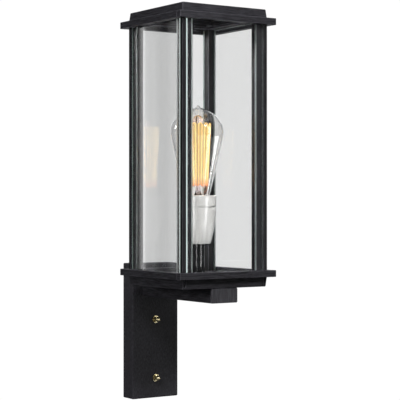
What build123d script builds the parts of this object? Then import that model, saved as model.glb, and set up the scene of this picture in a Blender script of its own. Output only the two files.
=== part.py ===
from build123d import *
import math
import os

os.makedirs("parts", exist_ok=True)

# ----------------------------------------------------------------------------------------------
# Outdoor wall lantern: a square glazed box standing on an arm that grows out of a wall plate.
# Millimetres, +Z up, +Y into the wall, -Y out of it.
# Origin: centre of the wall bracket's back face, on the wall plane y = 0.
# ----------------------------------------------------------------------------------------------

# Driving dimensions: lantern box
body_width = 124.0            # square plan over posts and trays
window_height = 301.0         # clear height between the two rings of flange bars
sill_height = 83.0            # top of the base bars above the bracket's centre
axis_reach = 122.0            # lantern axis out from the wall
bar_proud = 8.0               # how far a flange bar stands out of the body
bar_height = 8.2
bar_edge = 0.7                # rounding of the bars' long outer edges
carrier_thickness = 3.0       # floor plate and top frame
tray_height = 12.0
roof_height = 11.2
tray_draft = 1.25             # how far trays lean in over their height
sheet = 2.0                   # folded sheet of trays
tray_corner = 1.0             # rounding of the trays' bent edges
seam_gap = 1.5                # open seam beside each side wall of the base tray

# Driving dimensions: corner posts and panes
post_size = 14.5
post_core = 5.5               # solid outer corner of a post, left between two panes
glass_thickness = 4.0
glass_gap = 0.2               # between a pane and what it lies against
pane_end_gap = 0.3            # above and below a pane
pane_side_gap = 1.8           # open joint between a pane's side and the post's core
pane_arris = 0.4              # ground edges of a pane
post_edge = 0.8               # rounding of a post's outer corner
post_lip = 0.5                # rounding of the core's edges beside the panes

# Driving dimensions: top frame and loose roof
access_width = 94.0           # square opening that the lamp passes through
collar_height = 5.0
collar_thickness = 1.5
collar_clearance = 1.0        # between the collar and the roof's wall at the foot
roof_screw_spacing = 80.0
roof_screw_height = 3.0       # above the roof's seat
roof_screw_radius = 1.5
roof_screw_clearance = 0.1    # between a grub screw's tip and the collar
roof_screw_proud = 0.4        # tail beyond the roof's wall
roof_socket = 1.4             # depth of the hexagon socket
thread_clearance = 0.05       # radial, in every screwed or pressed hole

# Driving dimensions: wall plate, bracket and arm
plate_width = 69.0
plate_height = 175.0
plate_depth = 23.5
plate_wall = 2.0
plate_edge = 1.6
bracket_width = 44.0
bracket_height = 166.0
bracket_thickness = 2.5
bracket_corner = 4.0
wall_hole_radius = 2.6
wall_hole_upper_z = 68.0
wall_hole_lower_z = -74.0
cable_hole_z = -24.0
cable_radius = 4.0            # bore of the grommet
grommet_neck_radius = 7.0
grommet_flange_radius = 10.0
grommet_flange = 2.0
arm_width = 38.0
arm_height = 18.0
arm_wall = 2.0
arm_edge = 1.6
arm_setback = 2.0             # arm's front end behind the body's front face
plug_length = 12.0
plug_clearance = 0.2
end_spigot = 6.0

# Driving dimensions: studs and domed nuts on the wall plate
stud_radius = 2.0             # M4
stud_upper_z = 14.4
stud_lower_z = -61.6
stud_tail = 6.3               # stud beyond the washer, inside the domed nut
hole_clearance = 0.25         # radial, in free holes
nut_flats = 7.0
nut_hex_height = 3.2
nut_height = 8.0
dome_radius = 3.25
washer_radius = 4.5
washer_thickness = 0.8

# Driving dimensions: small fasteners
small_head_radius = 3.8       # M4 pan head
small_head_height = 2.6
small_shank_radius = 1.95
post_screw_length = 13.0
big_head_radius = 4.5         # M5 pan head
big_head_height = 3.3
big_shank_radius = 2.45
big_nut_flats = 8.0
big_nut_height = 4.0
arm_screw_offset = 11.0       # sideways from the arm's middle
arm_screw_length = 11.0
base_bolt_offset = 34.0       # before and behind the lantern axis
base_bolt_length = 10.0

# Driving dimensions: electrical parts
stem_radius = 8.25
stem_wall = 1.2
nipple_radius = 5.0           # M10 x 1 threaded tube
nipple_bore = 3.5
nipple_nut_flats = 14.0
nipple_nut_height = 3.0
nipple_tail = 2.0             # thread below the lower nut
nipple_head = 1.0             # thread above the upper nut
lead_tail = 2.0               # lead above the threaded tube
lead_radius = 2.25
lead_bend = 8.0
lead_hole_clearance = 2.5
lead_standoff = 12.0          # lead out from the wall beside the terminal block
block_width = 30.0
block_depth = 16.0
block_height = 14.0
block_bottom_z = 24.0
block_pole_pitch = 9.0
block_screw_radius = 1.6
block_screw_length = 4.0
block_screw_sink = 1.0        # screw heads below the block's face
block_slot = 0.6              # screwdriver slots
earth_slot = 0.9
block_wire_radius = 1.8
block_wire_offset = 2.5       # wire entries behind the block's middle
earth_screw_z = -44.0

# Driving dimensions: porcelain lampholder
holder_lift = 32.0            # its foot above the sill
holder_height = 60.0
holder_radius = 23.0
holder_foot_radius = 15.2
holder_floor = 4.0            # porcelain under the upper nut
holder_waist = 2.9            # belly's middle, in from its widest
holder_waist_share = 0.42     # of the belly's height
holder_foot_edge = 0.8
nut_room = 4.0                # around and above the upper nut
skirt_rise = 8.0              # ring's seat above the core
ring_edge = 1.2
ring_height = 13.8
ring_groove = 1.0             # shadow line between body and ring
ring_mouth_radius = 18.4
ring_mouth_depth = 9.5
ring_bore_radius = 14.6
ring_skirt_radius = 18.0
skirt_clearance = 0.3         # below the ring's skirt
insert_radius = 15.6
insert_thickness = 6.0
insert_boss = 5.0
insert_wire_radius = 1.6
insert_wire_spacing = 14.0
shell_radius = 13.95
shell_wall = 0.5
shell_height = 31.0
contact_height = 4.2
leaf = 0.6
leaf_half_width = 2.5
leaf_foot = 9.0               # half length at the feet
leaf_fold = 5.0               # half length where the legs rise
leaf_crown = 3.5              # half length of the bridge's top
leaf_lean = 0.6               # inner folds in from the outer ones

# Driving dimensions: lamp
lamp_length = 145.2
lamp_radius = 32.0
lamp_glass = 1.0
lamp_cap_radius = 13.05
lamp_cap_height = 27.0
lamp_contact_gap = 0.3
lamp_contact_radius = 3.6
lamp_contact_height = 1.5
lamp_contact_edge = 1.2
insulator_foot = 5.0
insulator_top = 6.0
cap_wall = 0.5
neck_step = 0.6               # glass neck inside the cap
neck_depth = 6.0              # glass down inside the cap
tip_height = 2.8
tip_radius = 2.4
tip_draft = 20.0
# Pear shape from neck to shoulder: radius beyond the neck, height above the cap
pear_neck = ((0, 0.5), (4.3, 8), (7.9, 24))
# and of the bowl up to the shoulder: radius in from the widest, height above the cap
pear_bowl = ((6.0, 55), (0, 85))
pear_shoulder = (4.6, 101)
pear_crown = (16.0, 4.2)      # in from the widest, down from the crown
filament_count = 16
filament_radius = 0.3
cage_top_radius = 16.0
cage_bottom_radius = 12.0
cage_bottom = 48.0            # above the lamp's foot contact
cage_height = 72.0
support_radius = 0.45
stem_rise = 4.5               # glass rod above the upper ring
stem_bead_radius = 3.2
stem_depth = 5.0              # flare's foot below the cap's rim
stem_flare = 10.0             # height of the flare
stem_flare_top = 5.0
stem_flare_gap = 0.3          # between the flare and the glass neck
stem_rod_radius = 2.2
ring_eye_radius = 3.0         # eyes of the support rings on the rod
spoke_count = 8
spoke_root = 2.6
filament_gap = 0.1            # between the filament and the support rings
filament_overrun = 2.0        # filament beyond each ring

# Derived: levels
half_body = body_width / 2
tray_top_z = sill_height - bar_height
tray_bottom_z = tray_top_z - tray_height
floor_top_z = tray_top_z + carrier_thickness
head_z = sill_height + window_height
roof_seat_z = head_z + bar_height
frame_bottom_z = roof_seat_z - carrier_thickness
arm_top_z = tray_bottom_z
arm_middle_z = arm_top_z - arm_height / 2
arm_length = axis_reach - plate_depth + half_body - arm_setback
draft_angle_base = math.degrees(math.atan(tray_draft / tray_height))
draft_angle_roof = math.degrees(math.atan(tray_draft / roof_height))
rebate_depth = glass_thickness + 2 * glass_gap
pane_width = body_width - 2 * (post_core + pane_side_gap)
post_screw_place = half_body - (rebate_depth + post_size) / 2
holder_foot_z = sill_height + holder_lift
holder_top_z = holder_foot_z + holder_height
lantern_axis = Axis((0, -axis_reach, 0), (0, 0, 1))


def level(z):
    """Horizontal plane at height z, centred on the lantern's axis."""
    return Plane((0, -axis_reach, z))


def upright():
    """Upright plane through the lantern's axis: local x is X, local y is Z."""
    return Plane(origin=(0, -axis_reach, 0), x_dir=(1, 0, 0), z_dir=(0, -1, 0))


def wall_offset(distance):
    """Upright plane parallel to the wall, a distance out from it."""
    return Plane.XZ.offset(distance)


# ----------------------------------------------------------------------------------------------
# Wall bracket and what it carries
# ----------------------------------------------------------------------------------------------
stud_places = [(0, stud_upper_z), (0, stud_lower_z)]

with BuildPart() as wall_bracket:
    with BuildSketch(wall_offset(0)):
        RectangleRounded(bracket_width, bracket_height, bracket_corner)
        with Locations((0, wall_hole_upper_z), (0, wall_hole_lower_z)):
            Circle(wall_hole_radius, mode=Mode.SUBTRACT)
        with Locations((0, cable_hole_z)):
            Circle(grommet_neck_radius + thread_clearance, mode=Mode.SUBTRACT)
        with Locations(*stud_places, (0, earth_screw_z)):
            Circle(stud_radius + thread_clearance, mode=Mode.SUBTRACT)
    extrude(amount=bracket_thickness)
wall_bracket.part.label = "wall_bracket"
export_step(wall_bracket.part, "parts/wall_bracket.step")

# Rubber bush for the house cable, flush with the bracket's back.
with BuildPart() as cable_grommet:
    with BuildSketch(wall_offset(0)):
        with Locations((0, cable_hole_z)):
            Circle(grommet_neck_radius)
    extrude(amount=bracket_thickness)
    with BuildSketch(wall_offset(bracket_thickness)):
        with Locations((0, cable_hole_z)):
            Circle(grommet_flange_radius)
    extrude(amount=grommet_flange)
    with BuildSketch(wall_offset(0)):
        with Locations((0, cable_hole_z)):
            Circle(cable_radius)
    extrude(amount=bracket_thickness + grommet_flange, mode=Mode.SUBTRACT)
cable_grommet.part.label = "cable_grommet"
export_step(cable_grommet.part, "parts/cable_grommet.step")

with BuildPart() as wall_studs:
    with BuildSketch(wall_offset(0)):
        with Locations(*stud_places):
            Circle(stud_radius)
    extrude(amount=plate_depth + washer_thickness + stud_tail)
wall_studs.part.label = "wall_studs"
export_step(wall_studs.part, "parts/wall_studs.step")

with BuildPart() as stud_nuts:
    with BuildSketch(wall_offset(bracket_thickness)):
        with Locations(*stud_places):
            RegularPolygon(nut_flats / 2, 6, major_radius=False)
            Circle(stud_radius + thread_clearance, mode=Mode.SUBTRACT)
    extrude(amount=nut_hex_height)
stud_nuts.part.label = "stud_nuts"
export_step(stud_nuts.part, "parts/stud_nuts.step")

with BuildPart() as earth_screw:
    with BuildSketch(wall_offset(0)):
        with Locations((0, earth_screw_z)):
            Circle(stud_radius)
    extrude(amount=bracket_thickness)
    with BuildSketch(wall_offset(bracket_thickness)):
        with Locations((0, earth_screw_z)):
            Circle(small_head_radius)
    extrude(amount=small_head_height)
    with BuildSketch(wall_offset(bracket_thickness + small_head_height / 2)):
        with Locations((0, earth_screw_z)):
            Rectangle(2 * small_head_radius, earth_slot)
    extrude(amount=small_head_height, mode=Mode.SUBTRACT)
earth_screw.part.label = "earth_screw"
export_step(earth_screw.part, "parts/earth_screw.step")

# Three-pole terminal block with wire holes from below and two rows of clamping screws.
block_middle_z = block_bottom_z + block_height / 2
pole_places = [(-block_pole_pitch, 0), (0, 0), (block_pole_pitch, 0)]
block_front = bracket_thickness + block_depth
block_screw_rise = block_height / 4
block_wire_y = -bracket_thickness - block_depth / 2 + block_wire_offset
slot_depth = 1.0

with BuildPart() as terminal_block:
    with BuildSketch(wall_offset(bracket_thickness)):
        with Locations((0, block_middle_z)):
            Rectangle(block_width, block_height)
    extrude(amount=block_depth)
    with BuildSketch(wall_offset(block_front)):
        with Locations((0, block_middle_z - block_screw_rise), (0, block_middle_z + block_screw_rise)):
            with GridLocations(block_pole_pitch, 1, 3, 1):
                Circle(block_screw_radius + thread_clearance)
    extrude(amount=-block_screw_length - block_screw_sink, mode=Mode.SUBTRACT)
    with BuildSketch(Plane((0, block_wire_y, block_bottom_z))):
        with Locations(*pole_places):
            Circle(block_wire_radius)
    extrude(amount=block_height / 3, mode=Mode.SUBTRACT)
terminal_block.part.label = "terminal_block"
export_step(terminal_block.part, "parts/terminal_block.step")

with BuildPart() as terminal_screws:
    with BuildSketch(wall_offset(block_front - block_screw_sink)):
        with Locations((0, block_middle_z - block_screw_rise), (0, block_middle_z + block_screw_rise)):
            with GridLocations(block_pole_pitch, 1, 3, 1):
                Circle(block_screw_radius)
                Rectangle(2 * block_screw_radius, block_slot, mode=Mode.SUBTRACT)
    extrude(amount=-slot_depth)
    with BuildSketch(wall_offset(block_front - block_screw_sink - slot_depth)):
        with Locations((0, block_middle_z - block_screw_rise), (0, block_middle_z + block_screw_rise)):
            with GridLocations(block_pole_pitch, 1, 3, 1):
                Circle(block_screw_radius)
    extrude(amount=-block_screw_length + slot_depth)
terminal_screws.part.label = "terminal_screws"
export_step(terminal_screws.part, "parts/terminal_screws.step")

# ----------------------------------------------------------------------------------------------
# Wall plate: hollow cover over the bracket, open at the back
# ----------------------------------------------------------------------------------------------
arm_screw_places = [(-arm_screw_offset, arm_middle_z), (arm_screw_offset, arm_middle_z)]
lead_hole_radius = lead_radius + lead_hole_clearance

with BuildPart() as wall_plate:
    with BuildSketch(wall_offset(0)):
        Rectangle(plate_width, plate_height)
    extrude(amount=plate_depth)
    fillet(wall_plate.edges().filter_by(Axis.Y), plate_edge)
    fillet(wall_plate.faces().sort_by(Axis.Y)[0].edges(), plate_edge)
    with BuildSketch(wall_offset(0)):
        Rectangle(plate_width - 2 * plate_wall, plate_height - 2 * plate_wall)
    extrude(amount=plate_depth - plate_wall, mode=Mode.SUBTRACT)
    with BuildSketch(wall_offset(plate_depth - plate_wall)):
        with Locations(*stud_places):
            Circle(stud_radius + hole_clearance)
        with Locations(*arm_screw_places):
            Circle(big_shank_radius + hole_clearance)
        with Locations((0, arm_middle_z)):
            Circle(lead_hole_radius)
    extrude(amount=plate_wall, mode=Mode.SUBTRACT)
wall_plate.part.label = "wall_plate"
export_step(wall_plate.part, "parts/wall_plate.step")

with BuildPart() as cap_nut_washers:
    with BuildSketch(wall_offset(plate_depth)):
        with Locations(*stud_places):
            Circle(washer_radius)
            Circle(stud_radius + hole_clearance, mode=Mode.SUBTRACT)
    extrude(amount=washer_thickness)
cap_nut_washers.part.label = "cap_nut_washers"
export_step(cap_nut_washers.part, "parts/cap_nut_washers.step")

nut_seat = plate_depth + washer_thickness
for name, stud_z in (("cap_nut_upper", stud_upper_z), ("cap_nut_lower", stud_lower_z)):
    nut_axis = Plane(origin=(0, -nut_seat, stud_z), x_dir=(1, 0, 0), z_dir=(0, 0, 1))
    with BuildPart() as cap_nut:
        with BuildSketch(wall_offset(nut_seat)):
            with Locations((0, stud_z)):
                RegularPolygon(nut_flats / 2, 6, major_radius=False)
        extrude(amount=nut_hex_height)
        with BuildSketch(nut_axis):
            with BuildLine():
                top = (0, -nut_height)
                shoulder = (dome_radius, -nut_height + dome_radius)
                quarter = (
                    dome_radius * math.cos(math.pi / 4),
                    -nut_height + dome_radius * (1 - math.sin(math.pi / 4)),
                )
                Line((0, 0), (dome_radius, 0))
                Line((dome_radius, 0), shoulder)
                ThreePointArc(shoulder, quarter, top)
                Line(top, (0, 0))
            make_face()
        revolve(axis=Axis((0, 0, stud_z), (0, 1, 0)))
        with BuildSketch(wall_offset(nut_seat)):
            with Locations((0, stud_z)):
                Circle(stud_radius + thread_clearance)
        extrude(amount=stud_tail + thread_clearance, mode=Mode.SUBTRACT)
    cap_nut.part.label = name
    export_step(cap_nut.part, f"parts/{name}.step")

# ----------------------------------------------------------------------------------------------
# Arm: rectangular tube under the lantern, with a tapped plug behind and a cap in front
# ----------------------------------------------------------------------------------------------
base_bolt_places = [
    (-arm_screw_offset, -base_bolt_offset),
    (arm_screw_offset, -base_bolt_offset),
    (-arm_screw_offset, base_bolt_offset),
    (arm_screw_offset, base_bolt_offset),
]
tube_length = arm_length - arm_wall

with BuildPart() as arm:
    with BuildSketch(wall_offset(plate_depth)):
        with Locations((0, arm_middle_z)):
            RectangleRounded(arm_width, arm_height, arm_edge)
            Rectangle(arm_width - 2 * arm_wall, arm_height - 2 * arm_wall, mode=Mode.SUBTRACT)
    extrude(amount=tube_length)
    with BuildSketch(level(arm_top_z)):
        Circle(nipple_radius + 1)
        with Locations(*base_bolt_places):
            Circle(big_shank_radius + hole_clearance)
    extrude(amount=-arm_wall, mode=Mode.SUBTRACT)
arm.part.label = "arm"
export_step(arm.part, "parts/arm.step")

bore_width = arm_width - 2 * arm_wall - 2 * plug_clearance
bore_height = arm_height - 2 * arm_wall - 2 * plug_clearance

with BuildPart() as arm_rear_plug:
    with BuildSketch(wall_offset(plate_depth)):
        with Locations((0, arm_middle_z)):
            Rectangle(bore_width, bore_height)
            Circle(lead_hole_radius, mode=Mode.SUBTRACT)
        with Locations(*arm_screw_places):
            Circle(big_shank_radius + thread_clearance, mode=Mode.SUBTRACT)
    extrude(amount=plug_length)
arm_rear_plug.part.label = "arm_rear_plug"
export_step(arm_rear_plug.part, "parts/arm_rear_plug.step")

with BuildPart() as arm_end_cap:
    with BuildSketch(wall_offset(plate_depth + tube_length)):
        with Locations((0, arm_middle_z)):
            RectangleRounded(arm_width, arm_height, arm_edge)
    extrude(amount=arm_wall)
    fillet(arm_end_cap.faces().sort_by(Axis.Y)[0].edges(), arm_edge / 2)
    with BuildSketch(wall_offset(plate_depth + tube_length)):
        with Locations((0, arm_middle_z)):
            Rectangle(bore_width, bore_height)
            Rectangle(bore_width - 2 * sheet, bore_height - 2 * sheet, mode=Mode.SUBTRACT)
    extrude(amount=-end_spigot)
arm_end_cap.part.label = "arm_end_cap"
export_step(arm_end_cap.part, "parts/arm_end_cap.step")

with BuildPart() as arm_screws:
    with BuildSketch(wall_offset(plate_depth - plate_wall)):
        with Locations(*arm_screw_places):
            Circle(big_shank_radius)
    extrude(amount=arm_screw_length)
    with BuildSketch(wall_offset(plate_depth - plate_wall)):
        with Locations(*arm_screw_places):
            Circle(big_head_radius)
    extrude(amount=-big_head_height)
arm_screws.part.label = "arm_screws"
export_step(arm_screws.part, "parts/arm_screws.step")

# ----------------------------------------------------------------------------------------------
# Base tray: folded pan under the lantern, with open seams beside its side walls
# ----------------------------------------------------------------------------------------------
with BuildPart() as base_tray:
    with BuildSketch(level(tray_top_z)):
        Rectangle(body_width, body_width)
    extrude(amount=-tray_height, taper=draft_angle_base)
    fillet(base_tray.edges() - base_tray.faces().sort_by(Axis.Z)[-1].edges(), tray_corner)
    with BuildSketch(level(tray_top_z)):
        Rectangle(body_width - 2 * sheet, body_width - 2 * sheet)
    extrude(amount=-(tray_height - sheet), taper=draft_angle_base, mode=Mode.SUBTRACT)
    with BuildSketch(level(tray_bottom_z)):
        Circle(nipple_radius + 1)
        with Locations(*base_bolt_places):
            Circle(big_shank_radius + hole_clearance)
    extrude(amount=sheet, mode=Mode.SUBTRACT)
    seam_place = half_body - sheet - tray_draft - seam_gap / 2
    with BuildSketch(level(tray_bottom_z + sheet)):
        with GridLocations(2 * seam_place, body_width, 2, 2):
            Rectangle(seam_gap, 2 * (sheet + tray_draft))
    extrude(amount=tray_height, mode=Mode.SUBTRACT)
base_tray.part.label = "base_tray"
export_step(base_tray.part, "parts/base_tray.step")

with BuildPart() as base_bolts:
    with BuildSketch(level(tray_bottom_z + sheet)):
        with Locations(*base_bolt_places):
            Circle(big_shank_radius)
    extrude(amount=-base_bolt_length)
    with BuildSketch(level(tray_bottom_z + sheet)):
        with Locations(*base_bolt_places):
            Circle(big_head_radius)
    extrude(amount=big_head_height)
base_bolts.part.label = "base_bolts"
export_step(base_bolts.part, "parts/base_bolts.step")

with BuildPart() as base_nuts:
    with BuildSketch(level(arm_top_z - arm_wall)):
        with Locations(*base_bolt_places):
            RegularPolygon(big_nut_flats / 2, 6, major_radius=False)
            Circle(big_shank_radius + thread_clearance, mode=Mode.SUBTRACT)
    extrude(amount=-big_nut_height)
base_nuts.part.label = "base_nuts"
export_step(base_nuts.part, "parts/base_nuts.step")

# ----------------------------------------------------------------------------------------------
# Carriers: the floor plate below and the top frame above tie the four posts together
# ----------------------------------------------------------------------------------------------
with BuildPart() as floor_plate:
    with BuildSketch(level(tray_top_z)):
        Rectangle(body_width, body_width)
        Circle(nipple_radius + thread_clearance, mode=Mode.SUBTRACT)
        with GridLocations(2 * post_screw_place, 2 * post_screw_place, 2, 2):
            Circle(small_shank_radius + hole_clearance, mode=Mode.SUBTRACT)
    extrude(amount=carrier_thickness)
floor_plate.part.label = "floor_plate"
export_step(floor_plate.part, "parts/floor_plate.step")

collar_width = body_width - 2 * sheet - 2 * collar_clearance

with BuildPart() as top_frame:
    with BuildSketch(level(frame_bottom_z)):
        Rectangle(body_width, body_width)
        Rectangle(access_width, access_width, mode=Mode.SUBTRACT)
        with GridLocations(2 * post_screw_place, 2 * post_screw_place, 2, 2):
            Circle(small_shank_radius + hole_clearance, mode=Mode.SUBTRACT)
    extrude(amount=carrier_thickness)
    with BuildSketch(level(roof_seat_z)):
        Rectangle(collar_width, collar_width)
        Rectangle(
            collar_width - 2 * collar_thickness,
            collar_width - 2 * collar_thickness,
            mode=Mode.SUBTRACT,
        )
    extrude(amount=collar_height)
top_frame.part.label = "top_frame"
export_step(top_frame.part, "parts/top_frame.step")

with BuildPart() as post_screws_lower:
    with BuildSketch(level(tray_top_z)):
        with GridLocations(2 * post_screw_place, 2 * post_screw_place, 2, 2):
            Circle(small_shank_radius)
    extrude(amount=post_screw_length)
    with BuildSketch(level(tray_top_z)):
        with GridLocations(2 * post_screw_place, 2 * post_screw_place, 2, 2):
            Circle(small_head_radius)
    extrude(amount=-small_head_height)
post_screws_lower.part.label = "post_screws_lower"
export_step(post_screws_lower.part, "parts/post_screws_lower.step")

with BuildPart() as post_screws_upper:
    with BuildSketch(level(roof_seat_z)):
        with GridLocations(2 * post_screw_place, 2 * post_screw_place, 2, 2):
            Circle(small_shank_radius)
    extrude(amount=-post_screw_length)
    with BuildSketch(level(roof_seat_z)):
        with GridLocations(2 * post_screw_place, 2 * post_screw_place, 2, 2):
            Circle(small_head_radius)
    extrude(amount=small_head_height)
post_screws_upper.part.label = "post_screws_upper"
export_step(post_screws_upper.part, "parts/post_screws_upper.step")

# ----------------------------------------------------------------------------------------------
# Corner posts: a solid outer core with a rebate on each side that a pane lies in
# ----------------------------------------------------------------------------------------------
corners = {
    "front_left": (-1, -1),
    "front_right": (1, -1),
    "rear_left": (-1, 1),
    "rear_right": (1, 1),
}
post_outline = [
    (0, 0),
    (post_core, 0),
    (post_core, rebate_depth),
    (post_size, rebate_depth),
    (post_size, post_size),
    (rebate_depth, post_size),
    (rebate_depth, post_core),
    (0, post_core),
]
tap_depth = post_screw_length - carrier_thickness + 1

for corner, (side, depth) in corners.items():
    with BuildPart() as post:
        with BuildSketch(level(floor_top_z)):
            with BuildLine():
                Polyline(
                    *[(side * (half_body - u), depth * (half_body - v)) for u, v in post_outline],
                    close=True,
                )
            make_face()
        extrude(amount=frame_bottom_z - floor_top_z)
        outer_edges = post.edges().filter_by(Axis.Z).sort_by_distance(
            (side * half_body, depth * half_body - axis_reach, sill_height)
        )
        fillet(outer_edges[0], post_edge)
        lip_edges = post.edges().filter_by(Axis.Z).sort_by_distance(
            (side * half_body, depth * half_body - axis_reach, sill_height)
        )
        fillet(lip_edges[2:4], post_lip)
        screw_place = (side * post_screw_place, depth * post_screw_place)
        with BuildSketch(level(floor_top_z)):
            with Locations(screw_place):
                Circle(small_shank_radius + thread_clearance)
        extrude(amount=tap_depth, mode=Mode.SUBTRACT)
        with BuildSketch(level(frame_bottom_z)):
            with Locations(screw_place):
                Circle(small_shank_radius + thread_clearance)
        extrude(amount=-tap_depth, mode=Mode.SUBTRACT)
    post.part.label = f"post_{corner}"
    export_step(post.part, f"parts/post_{corner}.step")

# ----------------------------------------------------------------------------------------------
# Panes and flange bars, one of each on every side
# ----------------------------------------------------------------------------------------------
pane_middle = half_body - glass_gap - glass_thickness / 2
pane_bottom_z = floor_top_z + pane_end_gap
pane_top_z = frame_bottom_z - pane_end_gap
sides = {
    "front": ((0, -pane_middle), (pane_width, glass_thickness)),
    "rear": ((0, pane_middle), (pane_width, glass_thickness)),
    "left": ((-pane_middle, 0), (glass_thickness, pane_width)),
    "right": ((pane_middle, 0), (glass_thickness, pane_width)),
}

for name, (place, size) in sides.items():
    with BuildPart() as pane:
        with BuildSketch(level(pane_bottom_z)):
            with Locations(place):
                Rectangle(*size)
        extrude(amount=pane_top_z - pane_bottom_z)
        chamfer(pane.edges(), pane_arris)
    pane.part.label = f"pane_{name}"
    export_step(pane.part, f"parts/pane_{name}.step")

# The front bar laps over the ends of the side bars, and the rear bar lies between them.
bar_middle = half_body + bar_proud / 2
side_bar_length = body_width + bar_proud
bars = {
    "front": ((0, -bar_middle), (body_width + 2 * bar_proud, bar_proud)),
    "rear": ((0, bar_middle), (body_width, bar_proud)),
    "left": ((-bar_middle, bar_proud / 2), (bar_proud, side_bar_length)),
    "right": ((bar_middle, bar_proud / 2), (bar_proud, side_bar_length)),
}
outward = {"front": (Axis.Y, 0), "rear": (Axis.Y, -1), "left": (Axis.X, 0), "right": (Axis.X, -1)}

for ring, bottom_z in (("base", tray_top_z), ("roof", head_z)):
    for name, (place, size) in bars.items():
        with BuildPart() as bar:
            with BuildSketch(level(bottom_z)):
                with Locations(place):
                    Rectangle(*size)
            extrude(amount=bar_height)
            sort_axis, which = outward[name]
            outer_face = bar.faces().sort_by(sort_axis)[which]
            fillet(outer_face.edges(), bar_edge)
        bar.part.label = f"{ring}_bar_{name}"
        export_step(bar.part, f"parts/{ring}_bar_{name}.step")

# ----------------------------------------------------------------------------------------------
# Roof: a shallow lid that lifts off the collar, held by two grub screws at the back
# ----------------------------------------------------------------------------------------------
roof_screw_z = roof_seat_z + roof_screw_height
roof_wall_lean = tray_draft * roof_screw_height / roof_height
roof_screw_tip = collar_width / 2 + roof_screw_clearance
roof_screw_tail = half_body - roof_wall_lean + roof_screw_proud

with BuildPart() as roof_cap:
    with BuildSketch(level(roof_seat_z)):
        Rectangle(body_width, body_width)
    extrude(amount=roof_height, taper=draft_angle_roof)
    fillet(roof_cap.edges() - roof_cap.faces().sort_by(Axis.Z)[0].edges(), tray_corner)
    with BuildSketch(level(roof_seat_z)):
        Rectangle(body_width - 2 * sheet, body_width - 2 * sheet)
    extrude(amount=roof_height - sheet, taper=draft_angle_roof, mode=Mode.SUBTRACT)
    with BuildSketch(Plane.XZ.offset(axis_reach - half_body - 1)):
        with Locations((0, roof_screw_z)):
            with GridLocations(roof_screw_spacing, 1, 2, 1):
                Circle(roof_screw_radius + thread_clearance)
    extrude(amount=2 * sheet, mode=Mode.SUBTRACT)
roof_cap.part.label = "roof_cap"
export_step(roof_cap.part, "parts/roof_cap.step")

with BuildPart() as roof_screws:
    with BuildSketch(Plane.XZ.offset(axis_reach - roof_screw_tail)):
        with Locations((0, roof_screw_z)):
            with GridLocations(roof_screw_spacing, 1, 2, 1):
                Circle(roof_screw_radius)
    extrude(amount=roof_screw_tail - roof_screw_tip)
    with BuildSketch(Plane.XZ.offset(axis_reach - roof_screw_tail)):
        with Locations((0, roof_screw_z)):
            with GridLocations(roof_screw_spacing, 1, 2, 1):
                RegularPolygon(roof_screw_radius / 2, 6, major_radius=False)
    extrude(amount=roof_socket, mode=Mode.SUBTRACT)
roof_screws.part.label = "roof_screws"
export_step(roof_screws.part, "parts/roof_screws.step")

# ----------------------------------------------------------------------------------------------
# Stem: a threaded tube inside a cover tube carries the lampholder on the floor plate
# ----------------------------------------------------------------------------------------------
nipple_nut_bottom_z = tray_top_z - nipple_nut_height
nipple_bottom_z = nipple_nut_bottom_z - nipple_tail
nipple_top_z = holder_foot_z + holder_floor + nipple_nut_height + nipple_head

with BuildPart() as stem_tube:
    with BuildSketch(level(floor_top_z)):
        Circle(stem_radius)
        Circle(stem_radius - stem_wall, mode=Mode.SUBTRACT)
    extrude(amount=holder_foot_z - floor_top_z)
stem_tube.part.label = "stem_tube"
export_step(stem_tube.part, "parts/stem_tube.step")

with BuildPart() as threaded_tube:
    with BuildSketch(level(nipple_bottom_z)):
        Circle(nipple_radius)
        Circle(nipple_bore, mode=Mode.SUBTRACT)
    extrude(amount=nipple_top_z - nipple_bottom_z)
threaded_tube.part.label = "threaded_tube"
export_step(threaded_tube.part, "parts/threaded_tube.step")

nut_levels = {
    "stem_nut_lower": nipple_nut_bottom_z,
    "stem_nut_upper": holder_foot_z + holder_floor,
}
for name, nut_z in nut_levels.items():
    with BuildPart() as stem_nut:
        with BuildSketch(level(nut_z)):
            RegularPolygon(nipple_nut_flats / 2, 6, major_radius=False)
            Circle(nipple_radius + thread_clearance, mode=Mode.SUBTRACT)
        extrude(amount=nipple_nut_height)
    stem_nut.part.label = name
    export_step(stem_nut.part, f"parts/{name}.step")

# ----------------------------------------------------------------------------------------------
# Porcelain lampholder: belly, core with contact and screw shell, and the ring screwed on top
# ----------------------------------------------------------------------------------------------
ring_bottom_z = holder_top_z - ring_height
insert_bottom_z = holder_foot_z + holder_floor + nipple_nut_height + nut_room
insert_top_z = insert_bottom_z + insert_thickness
belly_middle = (
    holder_radius - holder_waist,
    holder_foot_z + holder_waist_share * (ring_bottom_z - holder_foot_z),
)
skirt_seat_z = insert_top_z + skirt_rise
skirt_bottom_z = skirt_seat_z + skirt_clearance

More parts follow.
